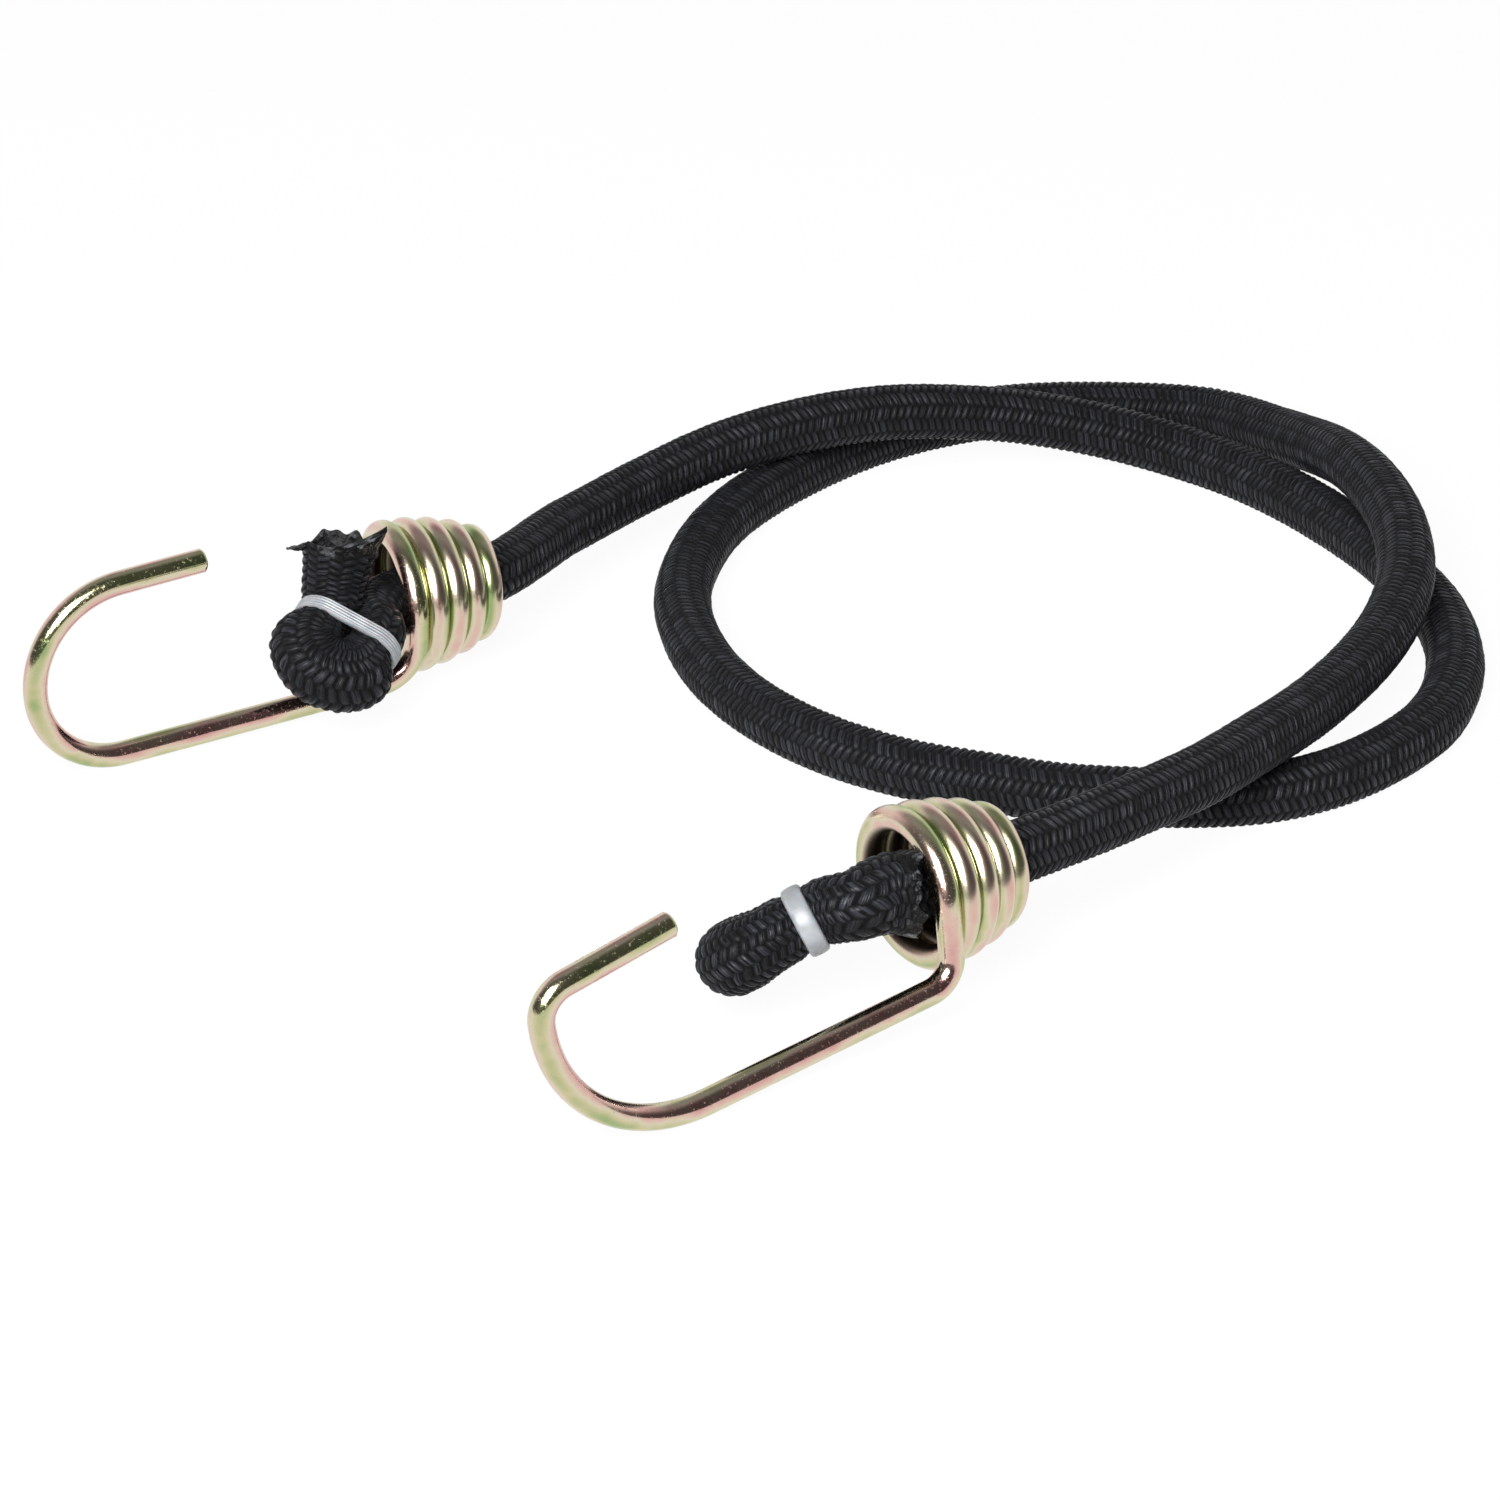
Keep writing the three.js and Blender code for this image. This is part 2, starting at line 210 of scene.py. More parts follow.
def fold_points(hook):
    centre = np.array(hook["fold_centre"])
    across = unit(hook["across"])
    along = unit(hook["along"])
    bound = hook["band_offset"] + hook["band_width"] / 2 + BAND_MARGIN
    points = [centre + across * FOLD_RADIUS + along * bound]
    for step in range(FOLD_STEPS + 1):
        angle = step * math.pi / FOLD_STEPS
        points.append(centre + FOLD_RADIUS * (across * math.cos(angle) - along * math.sin(angle)))
    points.append(centre - across * FOLD_RADIUS + along * bound)
    return points


def end_points(hook, run_end, run_next):
    outward = unit(np.subtract(run_end, run_next))
    lead = np.add(run_end, outward * CORD_DIAMETER / 2)
    local = [(-COIL_LENGTH - AXIS_LEAD, 0, 0), *hook["standing"], *fold_points(hook), *hook["tail"]]
    return [lead, *in_world(hook, local)]


first_end = end_points(HOOK_A, RUN[0], RUN[1])
second_end = end_points(HOOK_B, RUN[-1], RUN[-2])
whole_cord = [*first_end[::-1], *RUN, *second_end]
print("points from cut end to cut end:", len(whole_cord))

# %% [markdown]
# ## Rings along the line
# The spline is walked at an even step, six steps for each pick of the braid. A frame is carried
# along it without twist, so that the braid doesn't spin where the cord turns.

# %% Centre line and frames
PICK = 1.45
PICK_STEPS = 6
SPLINE_STEPS = 48
SAME_POINT = 1e-6


def along_line(wanted, places, values):
    """Rows of values that are given at places along a line, at the wanted places."""
    return np.column_stack([np.interp(wanted, places, values[:, axis]) for axis in range(3)])


def even_line(points, step):
    gaps = np.linalg.norm(np.diff(points, axis=0), axis=1)
    points = points[np.concatenate([[True], gaps > SAME_POINT])]
    gaps = np.linalg.norm(np.diff(points, axis=0), axis=1)
    travelled = np.concatenate([[0], np.cumsum(gaps)])
    wanted = np.linspace(0, travelled[-1], round(travelled[-1] / step) + 1)
    return along_line(wanted, travelled, points)


def smooth_line(points):
    points = np.array(points, float)
    points = np.vstack([2 * points[0] - points[1], points, 2 * points[-1] - points[-2]])
    share = np.linspace(0, 1, SPLINE_STEPS, endpoint=False)[:, None]
    dense = []
    for before, start, stop, after in zip(points, points[1:], points[2:], points[3:]):
        gap_in = np.linalg.norm(start - before) ** 0.5
        gap = np.linalg.norm(stop - start) ** 0.5
        gap_out = np.linalg.norm(after - stop) ** 0.5
        middle = (stop - start) / gap
        leave = gap * ((start - before) / gap_in - (stop - before) / (gap_in + gap) + middle)
        arrive = gap * (middle - (after - start) / (gap + gap_out) + (after - stop) / gap_out)
        cubic = 2 * start - 2 * stop + leave + arrive
        square = -3 * start + 3 * stop - 2 * leave - arrive
        dense.append(start + leave * share + square * share**2 + cubic * share**3)
    return np.vstack([*dense, points[-2][None]])


def carried_normals(line, first):
    tangents = np.gradient(line, axis=0)
    tangents /= np.linalg.norm(tangents, axis=1)[:, None]
    normals = np.empty_like(line)
    normal = np.array(first, float)
    for i, tangent in enumerate(tangents):
        normal = normal - tangent * normal.dot(tangent)
        normal /= math.sqrt(normal.dot(normal))
        normals[i] = normal
    return normals, np.cross(tangents, normals)


route = even_line(smooth_line(whole_cord), PICK / PICK_STEPS)
route_normals, route_sides = carried_normals(route, (0, 0, 1))
route_step = np.linalg.norm(np.diff(route, axis=0), axis=1).mean()
print("whole cord:", round(len(route) * route_step), "mm from cut end to cut end")

# %% [markdown]
# ## Colours and nodes
# Colours are written as they are read off a screen, in sRGB, and the renderer wants them linear.
# One function does that. Another adds a node to a material with its settings and its links, so
# that each material can be read from top to bottom like a recipe.

# %% Colour and node helpers
def linear(hex_colour):
    shares = [int(hex_colour[i : i + 2], 16) / 255 for i in (1, 3, 5)]
    return (*[s / 12.92 if s <= 0.04045 else ((s + 0.055) / 1.055) ** 2.4 for s in shares], 1)


def add_node(tree, kind, inputs=None, **settings):
    node = tree.nodes.new(kind)
    for name, value in settings.items():
        setattr(node, name, value)
    for name, value in (inputs or {}).items():
        if isinstance(value, bpy.types.NodeSocket):
            tree.links.new(value, node.inputs[name])
        else:
            node.inputs[name].default_value = value
    return node


def new_material(name):
    material = bpy.data.materials.new(name)
    material.use_nodes = True
    material.node_tree.nodes.clear()
    return material, material.node_tree


print("middle grey is", round(linear("#808080")[0], 3), "linear")

# %% [markdown]
# ## Black polyester braid
# The cover is braided from many-filament polyester yarn, dyed black. Each yarn is a bundle of
# smooth fibres. The mesh carries the height of the braid and a number for each yarn float, and
# the material reads them: the crowns get a painted grey gleam, and the valleys, where a yarn
# dives under its neighbour, get painted shade, near black, and are rougher. The fibres are a
# twentieth of a millimetre thick, too fine for the picture, so they are drawn as streaks of a
# third of a millimetre along each float. Where the cord was cut with a hot blade the yarn is
# melted, and there it is a hard skin with a few pale patches.

# %% Braid material
FIBRE_STREAK = 0.3
SKIN_PATCH = 2.5

braid_material, tree = new_material("braided_polyester")
height = add_node(tree, "ShaderNodeAttribute", attribute_name="braid_height")
tone = add_node(tree, "ShaderNodeAttribute", attribute_name="yarn_tone")
melt = add_node(tree, "ShaderNodeAttribute", attribute_name="melt")
place = add_node(tree, "ShaderNodeTexCoord")
fibre = add_node(tree, "ShaderNodeAttribute", attribute_name="fibre")
streaks = add_node(
    tree, "ShaderNodeTexNoise",
    {"W": fibre.outputs["Fac"], "Scale": 1.0, "Detail": 1.0, "Roughness": 0.6},
    noise_dimensions="1D",
)
streak = add_node(
    tree, "ShaderNodeMapRange", {"Value": streaks.outputs["Fac"], "From Min": 0.34, "From Max": 0.62}
)
crown = add_node(
    tree, "ShaderNodeMapRange",
    {"Value": height.outputs["Fac"], "From Min": 0.45, "From Max": 1.0},
)
yarn_colour = add_node(
    tree, "ShaderNodeMix",
    {"Factor": tone.outputs["Fac"], "A": linear("#18191c"), "B": linear("#2e3036")},
    data_type="RGBA",
)
streaked_colour = add_node(
    tree, "ShaderNodeMix",
    {"Factor": streak.outputs["Result"], "A": linear("#08080a"), "B": yarn_colour.outputs["Result"]},
    data_type="RGBA",
)
# Painted gleam on the crowns of the floats and painted shade, near black, in the valleys.
painted_gleam_and_shade = add_node(
    tree, "ShaderNodeMix",
    {
        "Factor": crown.outputs["Result"], "A": linear("#030303"),
        "B": streaked_colour.outputs["Result"],
    },
    data_type="RGBA",
)
# Pale patches on the melted skin, from the same noise that crumples it.
skin_noise = add_node(
    tree, "ShaderNodeTexNoise",
    {"Vector": place.outputs["Object"], "Scale": 1 / (SKIN_PATCH * MM), "Detail": 3.0, "Roughness": 0.6},
)
pale_patches = add_node(
    tree, "ShaderNodeMapRange", {"Value": skin_noise.outputs["Fac"], "From Min": 0.54, "From Max": 0.66}
)
melted_colour = add_node(
    tree, "ShaderNodeMix",
    {"Factor": pale_patches.outputs["Result"], "A": linear("#09090a"), "B": linear("#55575b")},
    data_type="RGBA",
)
cord_colour = add_node(
    tree, "ShaderNodeMix",
    {
        "Factor": melt.outputs["Fac"], "A": painted_gleam_and_shade.outputs["Result"],
        "B": melted_colour.outputs["Result"],
    },
    data_type="RGBA",
)
valley_roughness = add_node(
    tree, "ShaderNodeMapRange",
    {"Value": crown.outputs["Result"], "To Min": 0.9, "To Max": 0.24},
)
cord_roughness = add_node(
    tree, "ShaderNodeMix",
    {"Factor": melt.outputs["Fac"], "A": valley_roughness.outputs["Result"], "B": 0.3},
    data_type="FLOAT",
)
fibre_bump = add_node(
    tree, "ShaderNodeBump",
    {"Height": streak.outputs["Result"], "Strength": 0.9, "Distance": 0.0001},
)
skin_bump = add_node(
    tree, "ShaderNodeBump",
    {
        "Height": skin_noise.outputs["Fac"], "Strength": melt.outputs["Fac"], "Distance": 0.001,
        "Normal": fibre_bump.outputs["Normal"],
    },
)
braid_shader = add_node(
    tree, "ShaderNodeBsdfPrincipled",
    {
        "Base Color": cord_colour.outputs["Result"],
        "Roughness": cord_roughness.outputs["Result"],
        "Normal": skin_bump.outputs["Normal"],
        "IOR": 1.55,
        "Specular IOR Level": 0.12,
        "Sheen Weight": 0.03,
        "Sheen Roughness": 0.4,
        "Sheen Tint": linear("#9aa0a8"),
    },
)
add_node(tree, "ShaderNodeOutputMaterial", {"Surface": braid_shader.outputs["BSDF"]})
print("made", braid_material.name)

# %% [markdown]
# ## The height of a braid
# A braid could be drawn as a bump in the material, but then the cord's outline would stay
# smooth, and in the photograph it is scalloped. So the braid is in the mesh: a tube whose
# radius follows the yarns. Round the cord lie columns of short floats, slanted one way and the
# other in turn, each half a float further along than its neighbour. The height of a float is
# round across the yarn and falls at both ends, and the highest of three neighbours wins. No two
# yarns are alike, so each float takes a tone from a list, by a number that two primes scatter.

# %% Braid height
rng = np.random.default_rng(7)
TONES = rng.random(4096)
ROW_PRIME = 131
COLUMN_PRIME = 977
RING_SIDES = 96
CREST_RADIUS = 5.12
BRAID_DEPTH = 0.65
LEAN = 0.33
FLOAT_REACH = 0.72
FLOAT_FALL = 3
UNEVENNESS = 0.12


def braid_on(picks, columns):
    """Height, yarn tone and place across the yarn, for rings at these picks and every side."""
    travel = picks[:, None]
    turn = (np.arange(RING_SIDES) * columns / RING_SIDES)[None, :]
    slant = LEAN * 2 * math.pi * CREST_RADIUS / columns / PICK
    best = np.zeros(np.broadcast(travel, turn).shape)
    owner = np.zeros(best.shape)
    fibre = np.zeros(best.shape)
    here = np.floor(turn)
    for neighbour in (-1, 0, 1):
        column = here + neighbour
        odd = np.mod(column, 2)
        along = turn - column - 0.5
        pick = travel + 0.5 * odd + (1 - 2 * odd) * slant * along
        nearest = np.round(pick)
        across = 2 * (pick - nearest)
        number = nearest * ROW_PRIME + np.mod(column, columns) * COLUMN_PRIME
        yarn = TONES[np.mod(number, len(TONES)).astype(int)]
        rounded = np.sqrt(np.clip(1 - across**2, 0, 1))
        ends = np.clip(1 - np.abs(along / FLOAT_REACH) ** FLOAT_FALL, 0, 1)
        level = rounded * ends * (1 - UNEVENNESS + UNEVENNESS * yarn)
        owner = np.where(level > best, yarn, owner)
        fibre = np.where(level > best, across, fibre)
        best = np.maximum(best, level)
    return best, owner, fibre


print("braid:", RING_SIDES, "sides,", round(math.degrees(math.atan(LEAN))), "degrees of lean")

# %% [markdown]
# ## From rings to a mesh
# Cord and wire are both tubes: rings of points round a line, joined by quads and closed by a
# face at each end. Numbers for the materials are stored on the points.

# %% Tubes
def directions_round(normals, sides, count):
    """Directions away from a line, for each of its rings and each side of a tube."""
    angle = (np.arange(count) * 2 * math.pi / count)[None, :, None]
    return np.cos(angle) * normals[:, None] + np.sin(angle) * sides[:, None]


def new_piece(name, points, faces):
    mesh = bpy.data.meshes.new(name)
    mesh.from_pydata((points * MM).tolist(), [], faces)
    mesh.shade_smooth()
    obj = bpy.data.objects.new(name, mesh)
    scene.collection.objects.link(obj)
    return obj


def tube_mesh(name, points):
    rings, count = points.shape[:2]
    ring = np.arange(rings - 1)[:, None] * count
    side = np.arange(count)[None, :]
    after = (side + 1) % count
    corners = [ring + side, ring + after, ring + count + after, ring + count + side]
    faces = np.stack(corners, axis=-1).reshape(-1, 4).tolist()
    faces.append(list(range(count))[::-1])
    faces.append([(rings - 1) * count + k for k in range(count)])
    return new_piece(name, points.reshape(-1, 3), faces)


def add_numbers(obj, name, values):
    attribute = obj.data.attributes.new(name, "FLOAT", "POINT")
    attribute.data.foreach_set("value", values.reshape(-1))


print("rings on the whole cord:", len(route))

# %% [markdown]
# ## Where the cord is cut into pieces
# The real cord isn't cut, but its ends move away when it stretches. So the braid is made in
# five pieces with the same rings where they meet: the two folded ends, which move with their
# hooks, a stretch beside each end, and the loop. Where the cord lies on the table it is
# pressed flat.

# %% Loop and stretches
RUN_COLUMNS = 12
FIBRE_SHIFT = 40


def nearest_ring(point):
    return int(np.argmin(np.linalg.norm(route - np.array(point), axis=1)))


def finish_braid(obj, heights, tones, fibres, melt):
    add_numbers(obj, "braid_height", heights)
    add_numbers(obj, "yarn_tone", tones)
    add_numbers(obj, "fibre", fibres * PICK / 2 / FIBRE_STREAK + FIBRE_SHIFT * tones)
    add_numbers(obj, "melt", melt)
    obj.data.materials.append(braid_material)


def cord_piece(name, start, stop):
    rings = np.arange(start, stop + 1)
    heights, tones, fibres = braid_on(rings / PICK_STEPS, RUN_COLUMNS)
    radius = CREST_RADIUS - BRAID_DEPTH * (1 - heights)
    around = directions_round(route_normals[rings], route_sides[rings], RING_SIDES)
    points = route[rings][:, None] + around * radius[:, :, None]
    points[:, :, 2] = np.maximum(points[:, :, 2], 0)
    obj = tube_mesh(name, points)
    finish_braid(obj, heights, tones, fibres, np.zeros(heights.shape))
    path = route[start : stop + 1 : PICK_STEPS]
    path = np.vstack([path, route[stop]]) * MM
    return obj


JOIN_A = nearest_ring(RUN[0])
LOOP_START = nearest_ring(RUN[4])
LOOP_END = nearest_ring(RUN[-5])
JOIN_B = nearest_ring(RUN[-1])

loop = cord_piece("cord_loop", LOOP_START, LOOP_END)
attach(loop, "cord")
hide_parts("cord_sheath", "cord_core")

stretch_a = cord_piece("cord_stretch_a", JOIN_A, LOOP_START)
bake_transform(stretch_a)

stretch_b = cord_piece("cord_stretch_b", LOOP_END, JOIN_B)
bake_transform(stretch_b)

# %% [markdown]
# ## The shape of a fold
# Behind the coil the cord is folded back on itself. The band squeezes the two legs together and
# bites into them, and the crown bulges outward and to both sides, all within a cord's width and
# a half of the fold's centre. The braid goes on round the fold, but there it is slack: its yarns
# lie in more and narrower columns, and they crowd together in the crown.

# %% Folds
FOLD_NEAR = 16
CROWN_BLEND = 3
SIDE_BULGE = 0.14
SQUEEZE = 0.04
SQUEEZE_WIDTH = 3
BITE_WIDTH = 2
FOLD_COLUMNS = 16
CROWDING = 0.8
END_STEP = 0.5


def smooth_step(value, low, high):
    share = np.clip((value - low) / (high - low), 0, 1)
    return share * share * (3 - 2 * share)


def fold_swell(hook, line, around):
    """How much wider the cord is at each ring and side, and which rings are in the crown."""
    axes = hook_frame(hook)[1]
    across = unit(hook["across"]) @ axes
    along = unit(hook["along"]) @ axes
    third = np.cross(along, across)
    place = line - in_world(hook, hook["fold_centre"])
    near = np.linalg.norm(place, axis=1) < FOLD_NEAR
    out = place - np.outer(place @ third, third)
    out /= np.linalg.norm(out, axis=1)[:, None]
    outer = np.clip(np.einsum("rsk,rk->rs", around, out), 0, 1) ** 2
    level = place @ along
    from_band = level - hook["band_offset"]
    crown = near * smooth_step(-level, -CROWN_BLEND, CROWN_BLEND)
    bound = near * np.exp(-((from_band / SQUEEZE_WIDTH) ** 2))
    bitten = near * np.exp(-((from_band / BITE_WIDTH) ** 2))
    swell = crown[:, None] * (hook["bulge"] * outer + SIDE_BULGE * (around @ third) ** 2)
    swell -= bound[:, None] * SQUEEZE * (around @ across) ** 2
    swell -= hook["bite"] * bitten[:, None]
    return swell, crown


def fold_braid(hook, line, crown, join, way):
    walked = np.cumsum((1 + CROWDING * crown[::way]) * END_STEP / PICK_STEPS)
    picks = (join / PICK_STEPS + way * (walked - walked[0]))[::way]
    origin, axes = hook_frame(hook)
    past_coil = ((line - origin) @ axes.T)[:, :1] > -COIL_LENGTH / 2
    both = zip(braid_on(picks, FOLD_COLUMNS), braid_on(picks, RUN_COLUMNS))
    return [np.where(past_coil, slack, straight) for slack, straight in both]


print("crown of fold a swells by", round(100 * HOOK_A["bulge"]), "percent")

# %% [markdown]
# ## The cut ends
# The cord was cut with a hot blade. The cover flares there, its edge is ragged, with a few flaps
# that stand out, and the yarn is melted to a hard black skin. Inside the edge the face of the
# cut is sunk a little towards its middle.

# %% Folded and cut ends
MELT_START = 0.5
MELT_LENGTH = 3.2
MELT_FLATTENING = 0.8
FLARE_LENGTH = 6
EDGE_LENGTH = 1.6
AIM_RINGS = 8
RAGGED_WAVES = ((0.5, 3, 1), (0.45, 7, 0), (0.35, 13, 2))
CUT_FACE = ((0.82, 0.5), (0.5, 1.0), (0.1, 1.2))


def ragged_edge(hook, around, from_cut):
    """How far the cut edge stands out and rises, at each ring and side."""
    edge = np.exp(-((from_cut / EDGE_LENGTH) ** 2))
    angle = np.arange(RING_SIDES) * 2 * math.pi / RING_SIDES
    lift = edge * sum(size * np.sin(waves * angle + phase) for size, waves, phase in RAGGED_WAVES)
    reach = np.zeros(lift.shape)
    for direction, flap_reach, flap_rise, spread in hook["flaps"]:
        flap = np.exp(-(((1 - around @ unit(direction)) / spread) ** 2)) * edge
        reach += flap_reach * flap
        lift += flap_rise * flap
    return reach, lift


def end_piece(name, hook, join, cut):
    """The cord from the ring where it joins the run to the cut end, at half the run's step."""
    way = 1 if cut > join else -1
    rings = np.arange(min(join, cut), max(join, cut) + END_STEP / 2, END_STEP)
    every_ring = np.arange(len(route))
    line = along_line(rings, every_ring, route)
    normals = along_line(rings, every_ring, route_normals)
    sides = along_line(rings, every_ring, route_sides)
    around = directions_round(normals, sides, RING_SIDES)
    swell, crown = fold_swell(hook, line, around)
    heights, tones, fibres = fold_braid(hook, line, crown, join, way)

    from_cut = (np.abs(rings - cut) * route_step)[:, None]
    melt = np.broadcast_to(1 - smooth_step(from_cut, MELT_START, MELT_LENGTH), heights.shape)
    heights = heights * (1 - MELT_FLATTENING * melt)
    swell += hook["flare"] * np.exp(-from_cut / FLARE_LENGTH)
    reach, lift = ragged_edge(hook, around, from_cut)
    radius = (CREST_RADIUS - BRAID_DEPTH * (1 - heights)) * (1 + swell) + reach
    outward = unit(route[cut] - route[cut - AIM_RINGS * way])
    points = line[:, None] + around * radius[:, :, None] + lift[:, :, None] * outward

    rim = points[::way][-1]
    middle = rim.mean(axis=0)
    face = [middle + (rim - middle) * share - outward * sink for share, sink in CUT_FACE]
    obj = tube_mesh(name, np.concatenate([points[::way], face])[::way])
    room = ((0, len(face)), (0, 0))
    numbers = [heights, tones, fibres, melt]
    finish_braid(obj, *[np.pad(values[::way], room, mode="edge")[::way] for values in numbers])
    print(name, len(obj.data.polygons), "faces")
    return obj


fold_a = end_piece("cord_end_a", HOOK_A, JOIN_A, 0)
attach(fold_a, "end_a")
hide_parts("end_sheath_a", "end_core_a")

fold_b = end_piece("cord_end_b", HOOK_B, JOIN_B, len(route) - 1)
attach(fold_b, "end_b")
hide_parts("end_sheath_b", "end_core_b")

# %% [markdown]
# ## Yellow passivated zinc on drawn steel wire
# The hooks are bent from hard-drawn steel wire, plated with zinc and dipped in a passivate. That
# leaves a bright metal with a film a few hundred nanometres thick, which tints its reflections
# rose, cream and pale green. The tint is laid in bands round the wire by side, so it is partly
# the film's own colour and partly painted reflection, and it drifts along the wire. The mesh
# carries that as a number. Bright zinc has a roughness of about a sixth, and handling leaves
# dull specks of half a millimetre. The turns of the coil were drawn tight round a mandrel, which
# leaves them softer in their gloss. Inside the coil the wire gets painted shade, a dark brown,
# and is made rougher.

# %% Wire material
DRIFT = 6
SPECK = 0.5

wire_material, tree = new_material("passivated_zinc_plated_wire")
place = add_node(tree, "ShaderNodeTexCoord")
film_and_reflection = add_node(tree, "ShaderNodeAttribute", attribute_name="film_and_reflection")
inside_shade = add_node(tree, "ShaderNodeAttribute", attribute_name="inside_shade")
wound = add_node(tree, "ShaderNodeAttribute", attribute_name="wound")
drift = add_node(
    tree, "ShaderNodeTexNoise",
    {"Vector": place.outputs["Object"], "Scale": 1 / (DRIFT * MM), "Detail": 2.0, "Distortion": 0.4},
)
drifted = add_node(
    tree, "ShaderNodeMapRange", {"Value": drift.outputs["Fac"], "To Min": -0.45, "To Max": 0.45}
)
thickness = add_node(
    tree, "ShaderNodeMath", {0: film_and_reflection.outputs["Fac"], 1: drifted.outputs["Result"]}, operation="ADD"
)
tint = add_node(tree, "ShaderNodeValToRGB", {"Fac": thickness.outputs["Value"]})
tint_colours = [
    (0.05, "#9aad78"), (0.3, "#c6c096"), (0.52, "#d6ccb2"), (0.75, "#d9b5a8"), (1.0, "#cb9a96"),
]
while len(tint.color_ramp.elements) < len(tint_colours):
    tint.color_ramp.elements.new(0.5)
for element, (position, colour) in zip(tint.color_ramp.elements, tint_colours):
    element.position = position
    element.color = linear(colour)
specks = add_node(
    tree, "ShaderNodeTexNoise",
    {"Vector": place.outputs["Object"], "Scale": 1 / (SPECK * MM), "Detail": 3.0, "Roughness": 0.7},
)
wire_roughness = add_node(
    tree, "ShaderNodeMapRange",
    {
        "Value": specks.outputs["Fac"], "From Min": 0.56, "From Max": 0.72,
        "To Min": 0.15, "To Max": 0.5,
    },
)
wire_bump = add_node(
    tree, "ShaderNodeBump",
    {"Height": specks.outputs["Fac"], "Strength": 0.04, "Distance": 0.0001},
)
# Painted shade inside the coil: there the tint gives way to a dark brown.
tint_with_inside_shade = add_node(
    tree, "ShaderNodeMix",
    {"Factor": inside_shade.outputs["Fac"], "A": tint.outputs["Color"], "B": linear("#3d3128")},
    data_type="RGBA",
)
wound_roughness = add_node(
    tree, "ShaderNodeMix",
    {"Factor": wound.outputs["Fac"], "A": wire_roughness.outputs["Result"], "B": 0.24},
    data_type="FLOAT",
)
plated_roughness = add_node(
    tree, "ShaderNodeMix",
    {"Factor": inside_shade.outputs["Fac"], "A": wound_roughness.outputs["Result"], "B": 0.42},
    data_type="FLOAT",
)
wire_shader = add_node(
    tree, "ShaderNodeBsdfPrincipled",
    {
        "Base Color": tint_with_inside_shade.outputs["Result"],
        "Metallic": 1.0,
        "Roughness": plated_roughness.outputs["Result"],
        "Normal": wire_bump.outputs["Normal"],
    },
)
add_node(tree, "ShaderNodeOutputMaterial", {"Surface": wire_shader.outputs["BSDF"]})
print("made", wire_material.name)

# %% [markdown]
# ## The line of a hook
# Each hook is one wire: from the cut tip round the bow, along the shank, up the neck and round
# a coil that narrows towards the cord. The turns of the real coil touch, so each turn lies a
# hair less than the wire's thickness from the next.

# %% Hook lines
TURN_SPACING = 3.98
COIL_TURNS = 4.6
TURN_STEPS = 48
BEND_STEPS = 24


def rounded_corners(corners, radii):
    points = [np.array(corners[0], float)]
    for i, radius in enumerate(radii):
        corner = np.array(corners[i + 1], float)
        before = unit(corner - corners[i])
        after = unit(corners[i + 2] - corner)
        turn = math.acos(before.dot(after))
        inward = unit(after - before * before.dot(after))
        start = corner - before * radius * math.tan(turn / 2)
        for angle in np.linspace(0, turn, BEND_STEPS + 1):
            points.append(start + radius * (before * math.sin(angle) + inward * (1 - math.cos(angle))))
    points.append(np.array(corners[-1], float))
    return points


def hook_line(hook):
    """The hook's centre line in its own frame, and the way from its shank to its tip."""
    droop = math.radians(hook["droop"])
    shank_way = np.array([math.cos(droop), 0, -math.sin(droop)])
    gap_way = np.array([math.sin(droop), 0, math.cos(droop)])
    flare = math.radians(hook["tip_flare"])
    tip_way = gap_way * math.sin(flare) - shank_way * math.cos(flare)
    upper_bend = HOOK_GAP - hook["lower_bend"]
    upper_run = upper_bend * math.tan((math.pi / 2 - flare) / 2)
    top, foot = neck_points(hook)
    lower = foot + shank_way * hook["reach"]
    upper = lower + gap_way * (hook["lower_bend"] + upper_run)
    tip = upper + tip_way * (upper_run + hook["tip"])
    bends = [upper_bend, hook["lower_bend"], hook["neck_bend"]]
    bend = rounded_corners([tip, upper, lower, foot, top], bends)
    steps = np.arange(1, round(TURN_STEPS * COIL_TURNS) + 1)
    share = steps / steps[-1]
    angle = math.radians(hook["leaving"]) + 2 * math.pi * steps / TURN_STEPS
    taper = MOUTH_RADIUS - NARROW_RADIUS
    rise = np.sqrt(TURN_SPACING**2 - (2 * taper * share / COIL_TURNS) ** 2) / TURN_STEPS
    radius = MOUTH_RADIUS - taper * share**2
    coil = np.column_stack([-np.cumsum(rise), radius * np.cos(angle), radius * np.sin(angle)])
    return np.vstack([bend, coil]), gap_way


print("coil:", COIL_TURNS, "turns,", TURN_SPACING, "mm apart")

# %% [markdown]
# ## The hooks
# A curve with a round bevel would do for the wire, but a tube along a worked-out line gives a cut
# end with a small chamfer and carries numbers for the material: how thick the film is, with its
# bands round the wire that paint in the tint of reflections, which part of the wire is wound,
# and which side of it faces the inside of the coil, where shade is painted. The number for the
# film is lower on the wound part.

# %% Hook wires
TIP_CHAMFER = 0.4
CHAMFER_EDGE = 0.02
WIRE_STEP = 0.7
WIRE_SIDES = 32
FILM_MEAN = 0.55
FILM_SWING = 0.35
FILM_BANDS = 2.2
FILM_CREST = 0.87
FILM_WANDER = ((0.4, 17, 0), (0.3, 7.3, 1))
WOUND_THINNING = 0.22
WOUND_FROM = (-0.5, 1.5)
INSIDE_SHADE_FROM = (0.3, 0.8)


